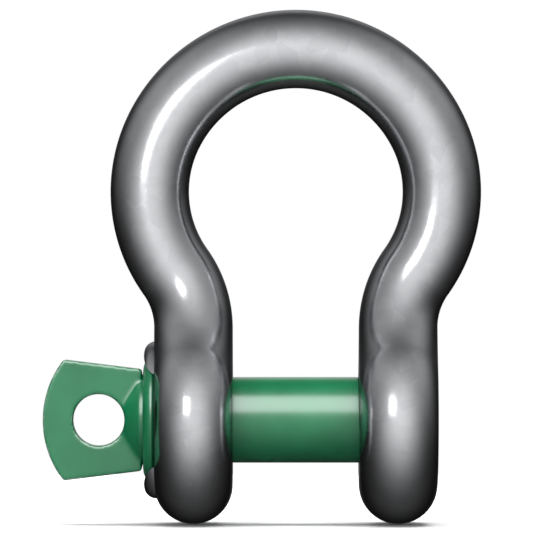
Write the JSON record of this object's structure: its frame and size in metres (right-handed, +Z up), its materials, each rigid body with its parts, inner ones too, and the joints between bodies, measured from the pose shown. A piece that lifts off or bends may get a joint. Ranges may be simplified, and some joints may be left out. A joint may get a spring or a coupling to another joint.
{
  "type": "bow shackle",
  "caption": "Forged galvanised bow shackle with round eyes, closed by a green-painted screw pin that has a collar and a flat spade head with a hole.",
  "frame": {"origin": "on the pin's axis, midway between the inner faces of the two ears", "axes": "+X along the pin from its spade head to its threaded end, +Z up from the pin to the crown of the bow, Y through the thickness"},
  "size_m": [0.1227, 0.0584, 0.144],
  "materials": {
    "galvanised_steel": "hot-dip galvanised, satin",
    "pin_paint": "dark green gloss paint over steel"
  },
  "bodies": {
    "bow": {"bow": "galvanised_steel"},
    "collar": {"pin_collar": "pin_paint"},
    "pin": {"screw_pin": "pin_paint"}
  },
  "joints": [
    {"name": "pin_travel", "type": "slide", "parent": "bow", "child": "collar", "axis": [-1, 0, 0], "range_m": [0, 0.0848]},
    {"name": "pin_turn", "type": "hinge", "parent": "collar", "child": "pin", "pos_m": [0, 0, 0], "axis": [-1, 0, 0], "range_deg": [0, 10170]}
  ],
  "couplings": [
    {"joint": "pin_travel", "follows": "pin_turn", "m_per_rad": 0.00047746}
  ]
}
